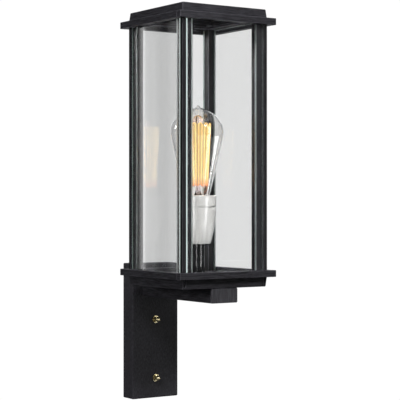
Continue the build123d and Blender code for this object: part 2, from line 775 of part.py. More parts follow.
with BuildPart() as lampholder_body:
    with BuildSketch(upright()):
        with BuildLine():
            Line((0, holder_foot_z), (holder_foot_radius, holder_foot_z))
            ThreePointArc(
                (holder_foot_radius, holder_foot_z),
                belly_middle,
                (holder_radius, ring_bottom_z - ring_groove),
            )
            Line((holder_radius, ring_bottom_z - ring_groove), (0, ring_bottom_z - ring_groove))
            Line((0, ring_bottom_z - ring_groove), (0, holder_foot_z))
        make_face()
    revolve(axis=lantern_axis)
    fillet(lampholder_body.faces().sort_by(Axis.Z)[0].edges(), holder_foot_edge)
    with BuildSketch(level(holder_foot_z)):
        Circle(nipple_radius + thread_clearance)
    extrude(amount=holder_floor, mode=Mode.SUBTRACT)
    with BuildSketch(level(holder_foot_z + holder_floor)):
        Circle(nipple_nut_flats / 2 + nut_room)
    extrude(amount=insert_bottom_z - holder_foot_z - holder_floor, mode=Mode.SUBTRACT)
    with BuildSketch(level(insert_bottom_z)):
        Circle(insert_radius + 2 * thread_clearance)
    extrude(amount=skirt_seat_z - insert_bottom_z, mode=Mode.SUBTRACT)
    with BuildSketch(level(skirt_seat_z)):
        Circle(ring_skirt_radius + 2 * thread_clearance)
    extrude(amount=ring_bottom_z - skirt_seat_z, mode=Mode.SUBTRACT)
lampholder_body.part.label = "lampholder_body"
export_step(lampholder_body.part, "parts/lampholder_body.step")

with BuildPart() as lampholder_ring:
    with BuildSketch(level(ring_bottom_z)):
        Circle(holder_radius)
    extrude(amount=ring_height)
    fillet(lampholder_ring.faces().sort_by(Axis.Z)[-1].edges(), ring_edge)
    with BuildSketch(level(skirt_bottom_z)):
        Circle(ring_skirt_radius)
    extrude(amount=ring_bottom_z - skirt_bottom_z)
    with BuildSketch(level(skirt_bottom_z)):
        Circle(ring_bore_radius)
    extrude(amount=holder_top_z - skirt_bottom_z, mode=Mode.SUBTRACT)
    with BuildSketch(level(holder_top_z)):
        Circle(ring_mouth_radius)
    extrude(amount=-ring_mouth_depth, mode=Mode.SUBTRACT)
lampholder_ring.part.label = "lampholder_ring"
export_step(lampholder_ring.part, "parts/lampholder_ring.step")

shell_inner = shell_radius - shell_wall

with BuildPart() as holder_insert:
    with BuildSketch(level(insert_bottom_z)):
        Circle(insert_radius)
    extrude(amount=insert_thickness)
    with BuildSketch(level(insert_top_z)):
        Circle(shell_inner - 2 * thread_clearance)
    extrude(amount=insert_boss)
    with BuildSketch(level(insert_bottom_z)):
        with GridLocations(insert_wire_spacing, 1, 2, 1):
            Circle(insert_wire_radius)
    extrude(amount=insert_thickness + insert_boss, mode=Mode.SUBTRACT)
holder_insert.part.label = "holder_insert"
export_step(holder_insert.part, "parts/holder_insert.step")

with BuildPart() as screw_shell:
    with BuildSketch(level(insert_top_z)):
        Circle(shell_radius)
        Circle(shell_inner, mode=Mode.SUBTRACT)
    extrude(amount=shell_height)
screw_shell.part.label = "screw_shell"
export_step(screw_shell.part, "parts/screw_shell.step")

# Springy leaf, folded into a low bridge that the lamp's foot presses on.
contact_seat_z = insert_top_z + insert_boss
contact_top_z = contact_seat_z + contact_height

with BuildPart() as centre_contact:
    with BuildSketch(upright()):
        with BuildLine():
            Polyline(
                (-leaf_foot, contact_seat_z),
                (-leaf_foot, contact_seat_z + leaf),
                (-leaf_fold, contact_seat_z + leaf),
                (-leaf_crown, contact_top_z),
                (leaf_crown, contact_top_z),
                (leaf_fold, contact_seat_z + leaf),
                (leaf_foot, contact_seat_z + leaf),
                (leaf_foot, contact_seat_z),
                (leaf_fold - leaf_lean, contact_seat_z),
                (leaf_crown - leaf_lean, contact_top_z - leaf),
                (leaf_lean - leaf_crown, contact_top_z - leaf),
                (leaf_lean - leaf_fold, contact_seat_z),
                close=True,
            )
        make_face()
    extrude(amount=leaf_half_width, both=True)
centre_contact.part.label = "centre_contact"
export_step(centre_contact.part, "parts/centre_contact.step")

# Lead from the terminal block through the arm, the floor plate and the stem to the lampholder.
with BuildPart() as lamp_lead:
    with BuildLine() as lead_path:
        FilletPolyline(
            (0, -lead_standoff, block_bottom_z + block_height),
            (0, -lead_standoff, arm_middle_z),
            (0, -axis_reach, arm_middle_z),
            (0, -axis_reach, nipple_top_z + lead_tail),
            radius=[lead_bend, lead_bend],
        )
    with BuildSketch(Plane(origin=lead_path.line @ 0, z_dir=lead_path.line % 0)):
        Circle(lead_radius)
    sweep(path=lead_path.line)
lamp_lead.part.label = "lamp_lead"
export_step(lamp_lead.part, "parts/lamp_lead.step")

# ----------------------------------------------------------------------------------------------
# Lamp: screw cap, insulator, foot contact, pear-shaped glass, glass stem and caged filament
# ----------------------------------------------------------------------------------------------
lamp_foot_z = contact_top_z + lamp_contact_gap
cap_top_z = lamp_foot_z + lamp_cap_height
neck_radius = lamp_cap_radius - neck_step
crown_z = lamp_foot_z + lamp_length - tip_height

with BuildPart() as bulb_contact:
    with BuildSketch(level(lamp_foot_z)):
        Circle(lamp_contact_radius)
    extrude(amount=lamp_contact_height)
    fillet(bulb_contact.faces().sort_by(Axis.Z)[0].edges(), lamp_contact_edge)
bulb_contact.part.label = "bulb_contact"
export_step(bulb_contact.part, "parts/bulb_contact.step")

with BuildPart() as bulb_insulator:
    with BuildSketch(level(lamp_foot_z + lamp_contact_height)):
        Circle(insulator_foot)
    with BuildSketch(level(lamp_foot_z + insulator_top)):
        Circle(lamp_cap_radius - 2 * cap_wall)
    loft()
bulb_insulator.part.label = "bulb_insulator"
export_step(bulb_insulator.part, "parts/bulb_insulator.step")

with BuildPart() as bulb_cap:
    with BuildSketch(level(lamp_foot_z + insulator_top)):
        Circle(lamp_cap_radius)
        Circle(lamp_cap_radius - cap_wall, mode=Mode.SUBTRACT)
    extrude(amount=lamp_cap_height - insulator_top)
bulb_cap.part.label = "bulb_cap"
export_step(bulb_cap.part, "parts/bulb_cap.step")


def bulb_outline(inset):
    """Half outline of the pear-shaped glass, from its neck to its crown, moved in by inset."""
    neck = [(neck_radius + swell - inset, cap_top_z + rise) for swell, rise in pear_neck]
    bowl = [(lamp_radius - draw - inset, cap_top_z + rise) for draw, rise in pear_bowl]
    draw, rise = pear_shoulder
    shoulder = (lamp_radius - draw - inset, cap_top_z + rise - inset / 2)
    draw, drop = pear_crown
    crown = (lamp_radius - draw - inset, crown_z - drop - inset)
    return neck + bowl + [shoulder, crown, (0, crown_z - inset)]


with BuildPart() as bulb_glass:
    for inset, mode in ((0, Mode.ADD), (lamp_glass, Mode.SUBTRACT)):
        outline = bulb_outline(inset)
        foot_z = cap_top_z - neck_depth
        with BuildSketch(upright()):
            with BuildLine():
                Line((0, foot_z), (neck_radius - inset, foot_z))
                Line((neck_radius - inset, foot_z), outline[0])
                Spline(*outline, tangents=[(0, 1), (-1, 0)])
                Line(outline[-1], (0, foot_z))
            make_face()
        revolve(axis=lantern_axis, mode=mode)
    with BuildSketch(level(crown_z - lamp_glass / 2)):
        Circle(tip_radius)
    extrude(amount=tip_height + lamp_glass / 2, taper=tip_draft)
bulb_glass.part.label = "bulb_glass"
export_step(bulb_glass.part, "parts/bulb_glass.step")

cage_bottom_z = lamp_foot_z + cage_bottom
cage_top_z = cage_bottom_z + cage_height
stem_foot_z = cap_top_z - stem_depth
rod_foot_z = stem_foot_z + stem_flare

with BuildPart() as bulb_stem:
    with BuildSketch(level(stem_foot_z)):
        Circle(neck_radius - lamp_glass - stem_flare_gap)
    with BuildSketch(level(rod_foot_z)):
        Circle(stem_flare_top)
    loft()
    with BuildSketch(level(rod_foot_z)):
        Circle(stem_rod_radius)
    extrude(amount=cage_top_z + stem_rise - rod_foot_z)
    with Locations((0, -axis_reach, cage_top_z + stem_rise)):
        Sphere(stem_bead_radius)
bulb_stem.part.label = "bulb_stem"
export_step(bulb_stem.part, "parts/bulb_stem.step")

# Two spoked rings on the glass rod hold the filament's bends.
with BuildPart() as filament_supports:
    for ring_z, ring_radius in ((cage_bottom_z, cage_bottom_radius), (cage_top_z, cage_top_radius)):
        with Locations((0, -axis_reach, ring_z)):
            Torus(ring_radius, support_radius)
            Cylinder(ring_eye_radius, 2 * support_radius)
            Cylinder(stem_rod_radius + thread_clearance, 2 * support_radius, mode=Mode.SUBTRACT)
        for spoke in range(spoke_count):
            with BuildSketch(Plane(origin=(0, -axis_reach, ring_z), z_dir=(0, 0, 1))):
                with PolarLocations((ring_radius + spoke_root) / 2, 1, spoke * 360 / spoke_count):
                    Rectangle(ring_radius - spoke_root, support_radius)
            extrude(amount=support_radius / 2, both=True)
filament_supports.part.label = "filament_supports"
export_step(filament_supports.part, "parts/filament_supports.step")

with BuildPart() as filament:
    for strand in range(filament_count):
        angle = 2 * math.pi * strand / filament_count
        foot_reach = cage_bottom_radius + support_radius + filament_radius + filament_gap
        head_reach = cage_top_radius + support_radius + filament_radius + filament_gap
        foot = Vector(
            foot_reach * math.cos(angle),
            foot_reach * math.sin(angle) - axis_reach,
            cage_bottom_z - filament_overrun,
        )
        head = Vector(
            head_reach * math.cos(angle),
            head_reach * math.sin(angle) - axis_reach,
            cage_top_z + filament_overrun,
        )
        with BuildSketch(Plane(origin=foot, z_dir=head - foot)):
            Circle(filament_radius)
        extrude(amount=(head - foot).length)
filament.part.label = "filament"
export_step(filament.part, "parts/filament.step")
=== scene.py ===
# %% [markdown]
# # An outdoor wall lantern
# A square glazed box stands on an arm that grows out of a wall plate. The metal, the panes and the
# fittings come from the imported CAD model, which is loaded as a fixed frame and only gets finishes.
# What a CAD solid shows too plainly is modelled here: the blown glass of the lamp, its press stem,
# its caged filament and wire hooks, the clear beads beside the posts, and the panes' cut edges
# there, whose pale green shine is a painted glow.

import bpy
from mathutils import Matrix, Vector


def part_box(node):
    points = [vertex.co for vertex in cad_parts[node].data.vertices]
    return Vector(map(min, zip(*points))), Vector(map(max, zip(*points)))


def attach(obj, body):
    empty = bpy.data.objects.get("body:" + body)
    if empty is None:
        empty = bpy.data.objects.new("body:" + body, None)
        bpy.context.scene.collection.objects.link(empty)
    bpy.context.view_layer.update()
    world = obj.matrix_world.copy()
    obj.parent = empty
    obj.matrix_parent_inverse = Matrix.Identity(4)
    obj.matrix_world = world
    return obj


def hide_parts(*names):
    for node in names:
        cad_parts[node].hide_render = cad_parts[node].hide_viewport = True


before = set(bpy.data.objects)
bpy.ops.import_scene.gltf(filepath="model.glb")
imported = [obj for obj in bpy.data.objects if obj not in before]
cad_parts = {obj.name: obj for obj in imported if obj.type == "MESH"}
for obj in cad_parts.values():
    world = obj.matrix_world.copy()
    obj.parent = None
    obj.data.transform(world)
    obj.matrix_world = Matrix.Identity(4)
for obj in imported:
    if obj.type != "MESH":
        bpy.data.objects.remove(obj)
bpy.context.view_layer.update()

# %% Tools and units
import math

import bpy
from mathutils import Vector

MM = 0.001
AXIS_Y = -122 * MM  # the lantern's upright centre line lies this far in front of the wall
bpy.context.scene.view_settings.view_transform = "Standard"
print("lantern axis at y =", AXIS_Y)

# %% [markdown]
# ## Camera
# A long lens far away keeps the uprights parallel, as a studio would shoot a lantern for a
# catalogue. The camera stands at the left front, level with the middle of the glass. Its heading is
# given as an azimuth from straight on, so that the direction can be read as an angle.

# %% Make the camera
CAMERA_PLACE = Vector((-0.9378, -1.5400, 0.1649))
CAMERA_AZIMUTH, CAMERA_ELEVATION = -33.592, -0.144
LENS, FILM_WIDTH = 123.26, 36  # both in mm
NEAREST, FARTHEST = 0.05, 50


def towards(azimuth, elevation):
    """Unit vector from the lantern towards a place at that azimuth and elevation, in degrees."""
    a, e = math.radians(azimuth), math.radians(elevation)
    return Vector((math.sin(a) * math.cos(e), -math.cos(a) * math.cos(e), math.sin(e)))


bpy.ops.object.select_all(action="DESELECT")
bpy.ops.object.camera_add(location=CAMERA_PLACE)
camera = bpy.context.object
camera.name = "studio_camera"
camera.rotation_euler = (-towards(CAMERA_AZIMUTH, CAMERA_ELEVATION)).to_track_quat("-Z", "Y").to_euler()
camera.data.lens, camera.data.sensor_width = LENS, FILM_WIDTH
camera.data.clip_start, camera.data.clip_end = NEAREST, FARTHEST
bpy.context.scene.camera = camera
print("camera at", tuple(round(c, 3) for c in camera.location))

# %% [markdown]
# ## Working with nodes
# The room, the studio's sheets and every finish are small networks of nodes. Wired by hand, each
# link takes a line of its own, so a few helpers do it in one: the first sets or links an input, the
# next two do so for a whole node, and the rest add the sums and blends that come up again and again.

# %% Helpers for nodes
def feed(socket, value):
    """Links an input to another node's output, or sets it to a value."""
    if isinstance(value, bpy.types.NodeSocket):
        socket.id_data.links.new(value, socket)
    elif socket.type == "RGBA":
        socket.default_value = (*value, 1)
    else:
        socket.default_value = value


def feed_all(node, **values):
    """Feeds a node's inputs by their names, with _ for a space."""
    for name, value in values.items():
        feed(node.inputs[name.replace("_", " ")], value)


def add_node(tree, kind, **values):
    """A new node with those inputs fed."""
    made = tree.nodes.new("ShaderNode" + kind)
    feed_all(made, **values)
    return made


def arithmetic(tree, operation, first, second, clamp=True):
    """What a Math node gives, kept within 0..1 unless clamp is off."""
    made = tree.nodes.new("ShaderNodeMath")
    made.operation, made.use_clamp = operation, clamp
    feed(made.inputs[0], first)
    feed(made.inputs[1], second)
    return made.outputs[0]


def vector_arithmetic(tree, operation, first, second):
    """What a Vector Math node gives: a number for a dot product or a distance, else a vector."""
    made = tree.nodes.new("ShaderNodeVectorMath")
    made.operation = operation
    feed(made.inputs[0], first)
    feed(made.inputs[1], second)
    return next(output for output in made.outputs if output.enabled)


def spread(tree, value, low, high, start=0.35, end=0.65):
    """Maps start..end, by default the middle of a pattern, to low..high."""
    mapped = add_node(tree, "MapRange", Value=value, From_Min=start, From_Max=end, To_Min=low, To_Max=high)
    return mapped.outputs[0]


def along(tree, axis):
    """A place's Object coordinate along that axis."""
    place = add_node(tree, "TexCoord").outputs["Object"]
    return add_node(tree, "SeparateXYZ", Vector=place).outputs[axis]


def blend_colours(tree, share, first, second):
    """A colour that goes from the first to the second as the share goes from 0 to 1."""
    mix = tree.nodes.new("ShaderNodeMix")
    mix.data_type = "RGBA"
    for socket, value in ((mix.inputs[0], share), (mix.inputs[6], first), (mix.inputs[7], second)):
        feed(socket, value)
    return mix.outputs[2]


def blend_shaders(tree, share, first, second):
    """A shader that goes from the first to the second as the share goes from 0 to 1."""
    mix = tree.nodes.new("ShaderNodeMixShader")
    for socket, value in zip(mix.inputs, (share, first, second)):
        feed(socket, value)
    return mix.outputs[0]


def finish(name):
    """A new material; returns it with its node tree and its shader."""
    made = bpy.data.materials.new(name)
    made.use_nodes = True
    return made, made.node_tree, made.node_tree.nodes["Principled BSDF"]


print("node helpers ready")

# %% [markdown]
# ## Room
# The sweep is plain white, and the floor is a pale disc well below the lantern. Clear glass shows
# what is behind it, so the room is white to the eye and through glass, but dim to what only
# reflects it: that keeps black paint black while the background stays clean. Behind the lantern the
# room stays white to glossy things too, and fades to dim off to the sides.

# %% Make the sweep and the floor
ROOM_DIM, ROOM_WHITE = 0.07, 1.02
SWEEP_FULL, SWEEP_GONE = 22, 34  # degrees off straight behind where the white is full and gone
DIM_TINT = (0.96, 0.98, 1.0)

world = bpy.data.worlds.new("studio_room")
bpy.context.scene.world = world
world.use_nodes = True
room = world.node_tree
room.nodes.clear()
rays = add_node(room, "LightPath").outputs
straight = arithmetic(room, "ADD", rays["Is Camera Ray"], rays["Is Transmission Ray"])
scattered = arithmetic(room, "ADD", rays["Diffuse Depth"], rays["Glossy Depth"])
seen = arithmetic(room, "SUBTRACT", straight, scattered)
heading = add_node(room, "TexCoord").outputs["Generated"]
facing = vector_arithmetic(room, "DOT_PRODUCT", heading, -towards(CAMERA_AZIMUTH, 0))
fade_edges = math.cos(math.radians(SWEEP_GONE)), math.cos(math.radians(SWEEP_FULL))
sweep = spread(room, facing, ROOM_DIM, 1.0, *fade_edges)
mirrored = room.nodes.new("ShaderNodeMix")
for i, value in ((0, rays["Is Diffuse Ray"]), (2, sweep), (3, ROOM_DIM)):
    feed(mirrored.inputs[i], value)
dim = add_node(room, "Background", Color=DIM_TINT, Strength=mirrored.outputs[0])
white = add_node(room, "Background", Color=(1, 1, 1), Strength=ROOM_WHITE)
add_node(room, "OutputWorld", Surface=blend_shaders(room, seen, dim.outputs[0], white.outputs[0]))

FLOOR_PLACE, FLOOR_RADIUS = (0, -0.4, -0.62), 3.0
PAPER = (0.86, 0.86, 0.87)
PAPER_GLOW = 0.55
bpy.ops.mesh.primitive_circle_add(vertices=96, radius=FLOOR_RADIUS, fill_type="NGON", location=FLOOR_PLACE)
floor = bpy.context.object
floor.name = "studio_floor"
floor.visible_diffuse = floor.visible_glossy = False
paper, tree, shader = finish("floor_paper")
feed_all(shader, Base_Color=PAPER, Roughness=0.9, Emission_Color=PAPER, Emission_Strength=PAPER_GLOW)
floor.data.materials.append(paper)
print("floor at z =", floor.location.z)

# %% [markdown]
# ## Light
# Two kinds of source stand round the lantern. Tall strips only shine in glossy things: one right of
# straight on and one at the left draw the upright glints, and a long low one at the right is
# mirrored by the leaning flank of the lamp. A panel behind the left side is there for glass alone:
# the far wall of the lamp throws it back as a slanting white glint, and no coat mirrors it. Smaller
# panels, high in front and at the left, only light matt surfaces, so that the shadows under the bars
# stay deep. An area lamp overhead does both. Splitting shine from light is what flags and grids do in
# a studio. Area lamps could do all of it, but glass would show them as white cards. So the panels
# are glowing sheets, whose material lets a ray pass that comes straight through glass.

# %% Hang the soft panels
LIT_POINT = Vector((0, AXIS_Y, 0.2))
# azimuth and elevation in degrees, distance, width and height in metres, power in watts
SHINE = {
    "key_strip": (20, 2, 1.7, 0.42, 1.7, 16),
    "left_strip": (-60, 2, 1.6, 0.36, 1.7, 8),
    "low_right_panel": (64, -17, 1.6, 1.2, 0.3, 3),
    "rear_left_panel": (-136, 20, 1.5, 0.8, 0.27, 22),
}
FILL = {
    "front_panel": (4, 34, 1.7, 0.4, 0.25, 18),
    "upper_left_panel": (-50, 36, 1.7, 0.4, 0.3, 9),
    "side_panel": (-88, 6, 1.7, 0.4, 0.3, 8),
}
TOP_WAY, TOP_DISTANCE, TOP_SIZE, TOP_POWER = towards(10, 74), 1.5, (1.2, 0.9), 5


def facing_back(way):
    """The rotation that turns a sheet or a lamp, placed off that way, to face the lantern."""
    return way.to_track_quat("Z", "Y").to_euler()


def studio_sheet(name, way, distance, centre, width, tall):
    """A glowing sheet that faces the centre from that way; returns it, its tree and its glow."""
    bpy.ops.object.select_all(action="DESELECT")
    bpy.ops.mesh.primitive_plane_add(size=1, location=centre + way * distance, rotation=facing_back(way))
    sheet = bpy.context.object
    sheet.name = name
    sheet.scale = (width, tall, 1)
    sheet.visible_camera = sheet.visible_shadow = False
    cloth = bpy.data.materials.new(name + "_cloth")
    cloth.use_nodes = True
    tree = cloth.node_tree
    tree.nodes.clear()
    glow = add_node(tree, "Emission")
    add_node(tree, "OutputMaterial", Surface=glow.outputs[0])
    sheet.data.materials.append(cloth)
    return sheet, tree, glow


def soft_panel(name, azimuth, elevation, distance, width, height, power):
    """A sheet as strong as an area lamp of that power, and not seen straight through glass."""
    panel, tree, glow = studio_sheet(name, towards(azimuth, elevation), distance, LIT_POINT, width, height)
    feed_all(glow, Strength=power / (4 * width * height))
    path = add_node(tree, "LightPath").outputs
    bounced = arithmetic(tree, "ADD", path["Glossy Depth"], path["Diffuse Depth"])
    straight = arithmetic(tree, "SUBTRACT", path["Is Transmission Ray"], bounced)
    clear = add_node(tree, "BsdfTransparent")
    shown = blend_shaders(tree, straight, glow.outputs[0], clear.outputs[0])
    feed_all(tree.nodes["Material Output"], Surface=shown)
    return panel


def only_through_glass(panel):
    """Puts the panel out for rays that haven't been through glass, so that no coat mirrors it."""
    tree = panel.data.materials[0].node_tree
    depth = tree.nodes["Light Path"].outputs["Transmission Depth"]
    feed_all(tree.nodes["Emission"], Color=arithmetic(tree, "MINIMUM", depth, 1.0))


for name, numbers in SHINE.items():
    soft_panel(name, *numbers).visible_diffuse = False
for name, numbers in FILL.items():
    soft_panel(name, *numbers).visible_glossy = False
only_through_glass(bpy.data.objects["rear_left_panel"])
bpy.ops.object.light_add(type="AREA", location=LIT_POINT + TOP_WAY * TOP_DISTANCE,
                         rotation=facing_back(TOP_WAY))
top_panel = bpy.context.object
top_panel.name = "top_panel"
top_panel.data.shape = "RECTANGLE"
top_panel.data.size, top_panel.data.size_y = TOP_SIZE
top_panel.data.energy = TOP_POWER
top_panel.visible_camera = False
print("panels:", len(SHINE) + len(FILL) + 1)

# %% [markdown]
# ## Flag and card for the left pane
# Clear glass on white is nearly invisible, so a studio gives it something to show. A grey flag hangs
# far behind the left pane and only glass shows it, so the pane gets a shade without touching the
# backdrop. A tall soft card stands where that pane mirrors the room: its brightness runs across it
# as a curve, which draws a bright band that fades over the glass.

# %% Hang the flag and the card
FLAG_GLOW, CARD_GLOW = 0.74, 2.6
# places across the card, whose edges are at 0 and 1, and the brightness at each
CARD_FADE = ((0.08, 0.03), (0.123, 0.2), (0.164, 0.75), (0.214, 1), (0.26, 0.5), (0.3, 0.31), (0.455, 0.17),
             (0.645, 0), (0.755, 0.13), (0.864, 0.25))


def beside(way, across, height):
    """The point at that height on the lantern's axis, moved sideways as seen from that direction."""
    return Vector((0, AXIS_Y, height)) + Vector((-way.y, way.x, 0)) * across


flag_way = -towards(CAMERA_AZIMUTH, 0)
flag, _, cloth_glow = studio_sheet("grey_flag", flag_way, distance=1.2,
                                   centre=beside(flag_way, across=0.0845, height=0.285),
                                   width=0.0868, tall=0.64)
feed_all(cloth_glow, Strength=FLAG_GLOW)
flag.visible_glossy = flag.visible_diffuse = False

card_way = towards(-148, 0)
card, tree, cloth_glow = studio_sheet("pane_card", card_way, distance=1.5,
                                      centre=beside(card_way, across=0.05, height=0.3),
                                      width=0.11, tall=1.0)
card.visible_transmission = card.visible_diffuse = False
across = arithmetic(tree, "ADD", along(tree, "X"), 0.5, clamp=False)
fade = add_node(tree, "FloatCurve", Value=across)
curve = fade.mapping.curves[0]
curve.points[0].location, curve.points[1].location = (0, 0), (1, CARD_FADE[-1][1])
for point in CARD_FADE:
    curve.points.new(*point)
fade.mapping.update()
feed_all(cloth_glow, Strength=arithmetic(tree, "MULTIPLY", fade.outputs[0], CARD_GLOW, clamp=False))
print("sheets:", flag.name, card.name)

# %% [markdown]
# ## How the finishes are put together
# Every finish is one Principled shader whose colour, roughness and surface come from patterns in
# Object coordinates, so a pattern has its true size in metres and stays put on the piece. Three
# small helpers keep this readable: one makes a noise that can be stretched into grain, one turns a
# pattern into a relief, and one finds the outer edges, where a coat wears thin and where a painted
# highlight goes.

# %% Helpers for finishes
def noise(tree, scale, detail=3.0, stretch=(1, 1, 1), roughness=0.55):
    """A noise in Object coordinates, with scale in waves per metre, stretched along an axis."""
    place = add_node(tree, "TexCoord").outputs["Object"]
    laid = add_node(tree, "Mapping", Vector=place, Scale=[scale * s for s in stretch]).outputs[0]
    pattern = add_node(tree, "TexNoise", Vector=laid, Scale=1.0, Detail=detail, Roughness=roughness)
    return pattern.outputs["Fac"]


def bumps(tree, height, depth, strength=1.0):
    """A normal that follows a height pattern of that depth in metres."""
    return add_node(tree, "Bump", Height=height, Distance=depth, Strength=strength).outputs[0]


def edge_wear_and_highlight(tree, radius):
    """How near a place is to an outer edge, from 0 on a flat to 1 on the edge."""
    bent = add_node(tree, "Bevel", Radius=radius)
    bent.samples = 4
    flat = add_node(tree, "NewGeometry").outputs["Normal"]
    alike = vector_arithmetic(tree, "DOT_PRODUCT", bent.outputs[0], flat)
    return spread(tree, alike, 1.0, 0.0, start=0.86, end=0.998)


print("finish helpers ready")

# %% [markdown]
# ## Black coat
# The metal is powder coated in a satin charcoal black over linished sheet and bar. Up close the coat
# is slightly pebbled, and the direction in which the metal was linished shows through as fine
# streaks: along the flange bars and round the trays, and up the posts and the plate. Corners get a
# thinner coat that is rubbed paler, and the same paler edge is a painted highlight along the edges.
# One function makes the coat, and its stretch says which way the streaks run.

# %% Make the black coats
COAT_HUE = (0.97, 0.94, 1.08)  # the black leans a little to violet
EDGE_WIDTH = 0.9 * MM
# grey of the paler edges: rubbed wear that also serves as a painted edge highlight
RUBBED_AND_HIGHLIGHT_GREY = 0.36


def coat_grey(value):
    """A grey of that value in the coat's hue."""
    return tuple(value * hue for hue in COAT_HUE)


def black_coat(name, stretch, grey=0.038, rough=(0.36, 0.5), streak=0.00003, contrast=2.0, shine=0.08):
    """The coat, with streaks stretched that way and that deep in metres."""
    made, tree, shader = finish(name)
    streaks = noise(tree, 1.0, detail=6.0, stretch=stretch, roughness=0.68)
    pebble = noise(tree, 1900.0, detail=2.0)
    cloud = noise(tree, 22.0, detail=4.0)
    drawn = spread(tree, streaks, 0.0, 1.0, start=0.40, end=0.68)
    body = blend_colours(tree, drawn, coat_grey(grey / contrast), coat_grey(grey * contrast))
    dust = spread(tree, cloud, 0.0, 0.28, start=0.45, end=0.75)
    dusty = blend_colours(tree, dust, body, coat_grey(grey * contrast * 1.1))
    # paler at the outer edges: rubbed wear, and also painted highlight lines along the edges
    rubbed_and_highlight = arithmetic(tree, "MULTIPLY", edge_wear_and_highlight(tree, EDGE_WIDTH), spread(tree, cloud, 0.4, 0.95))
    grain = add_node(tree, "Bump", Height=streaks, Distance=streak, Strength=0.7,
                     Normal=bumps(tree, pebble, 0.00005, strength=0.4))
    feed_all(shader,
             Base_Color=blend_colours(tree, rubbed_and_highlight, dusty, coat_grey(RUBBED_AND_HIGHLIGHT_GREY)),
             Roughness=spread(tree, streaks, rough[1], rough[0]),
             Normal=grain.outputs[0],
             Specular_IOR_Level=shine)
    return made


coats = {
    "level": black_coat("black_coat_level", (60, 60, 1400), shine=0.03),
    # the posts' coat is made far darker than the others: painted shade for the posts seen inside the glass;
    # the end cap keeps the same streaks at an ordinary grey
    "upright": black_coat("black_coat_upright_painted_shade", (1400, 1400, 40), grey=0.009, shine=0.14),
    "end": black_coat("black_coat_end", (1400, 1400, 40), grey=0.05, shine=0.12),
    "plate": black_coat("black_coat_plate", (900, 900, 260), grey=0.05, streak=0.00001, contrast=1.4,
                        shine=0.07),
    "tube": black_coat("black_coat_tube", (700, 700, 20), grey=0.006, rough=(0.07, 0.11),
                       streak=0.000005, contrast=1.3, shine=1.0),
}
print("coats:", sorted(coats))

# %% [markdown]
# ## Metals
# The domed nuts and their washers are polished brass, turned on a lathe, so they carry very fine
# rings round their axis and a little tarnish, which the finish lays on in patches. Hidden fasteners
# are zinc plated, with the cloudy bluish passivation that zinc has.

# %% Make the metals
def metal(name, bright, dull, rough, grain, depth):
    """Metal with dull patches and a fine relief, which the grain stretches into rings."""
    made, tree, shader = finish(name)
    tarnish = noise(tree, 260.0, detail=4.0)
    dulled = spread(tree, tarnish, 0.0, 0.6, start=0.42, end=0.72)
    feed_all(shader,
             Base_Color=blend_colours(tree, dulled, bright, dull),
             Roughness=spread(tree, tarnish, rough * 0.8, rough * 1.5),
             Normal=bumps(tree, noise(tree, 1.0, detail=2.0, stretch=grain), depth, strength=0.5),
             Metallic=1.0)
    return made


brass = metal("polished_brass", (1.0, 0.90, 0.58), (0.80, 0.62, 0.28), 0.2, (900, 5000, 900), 0.000005)
zinc = metal("zinc_plate", (0.62, 0.64, 0.68), (0.42, 0.44, 0.46), 0.34, (1800, 1800, 1800), 0.00001)
cap_metal = metal("lamp_cap_nickel", (0.75, 0.73, 0.69), (0.5, 0.47, 0.42), 0.24, (600, 600, 3000), 0.00001)
print("metals:", brass.name, zinc.name, cap_metal.name)

# %% [markdown]
# ## Porcelain, rubber, plastic and lead
# Glazed porcelain is a warm white body under a clear hard glaze: the glaze is a coat layer, and it
# lies a little unevenly, which shows in the glints. Soft and moulded parts are dull, with a fine
# moulded texture.

# %% Make the fired, moulded and sheathed finishes
porcelain, tree, shader = finish("glazed_porcelain")
flow = noise(tree, 55.0, detail=2.0)
specks = noise(tree, 900.0, detail=1.0)
fired = blend_colours(tree, spread(tree, flow, 0.0, 1.0), (0.545, 0.537, 0.52), (0.59, 0.585, 0.57))
speckle = spread(tree, specks, 0.0, 0.4, start=0.70, end=0.80)
speckled = blend_colours(tree, speckle, fired, (0.52, 0.47, 0.40))
feed_all(shader, Base_Color=speckled, Roughness=spread(tree, flow, 0.16, 0.28),
         Normal=bumps(tree, flow, 0.00012, strength=0.4), Coat_Weight=0.9, Coat_Roughness=0.04, Coat_IOR=1.75)


def moulded(name, low, high, rough, scale, depth):
    """A moulded part's dull skin between two colours, with its texture's scale and depth."""
    made, tree, shader = finish(name)
    skin = noise(tree, scale, detail=4.0)
    feed_all(shader,
             Base_Color=blend_colours(tree, spread(tree, skin, 0.0, 1.0), low, high),
             Roughness=spread(tree, skin, rough * 0.85, rough * 1.15),
             Normal=bumps(tree, skin, depth, strength=0.6))
    return made


rubber = moulded("moulded_rubber", (0.012, 0.012, 0.013), (0.03, 0.03, 0.031), 0.75, 700.0, 0.00008)
plastic = moulded("moulded_plastic", (0.72, 0.71, 0.68), (0.80, 0.79, 0.77), 0.4, 1200.0, 0.00003)
sheath = moulded("lead_sheath", (0.02, 0.02, 0.021), (0.045, 0.045, 0.047), 0.5, 500.0, 0.00005)
insulator = moulded("black_glass_insulator", (0.01, 0.01, 0.012), (0.03, 0.028, 0.03), 0.18, 300.0, 0.00003)
print("fired and moulded finishes ready")

# %% [markdown]
# ## Clear glass
# The panes are 4 mm float glass. Iron in it gives a faint green, strongest where one looks into the
# glass along its cut edges; the pale green shine of those edges is a painted glow on separate edge
# pieces further down. The shader bends light as glass does, but lets the light of lamps straight
# through, so that the inside of the lantern isn't left dark by the way light is traced. The same
# function makes the thin blown glass of the lamp.

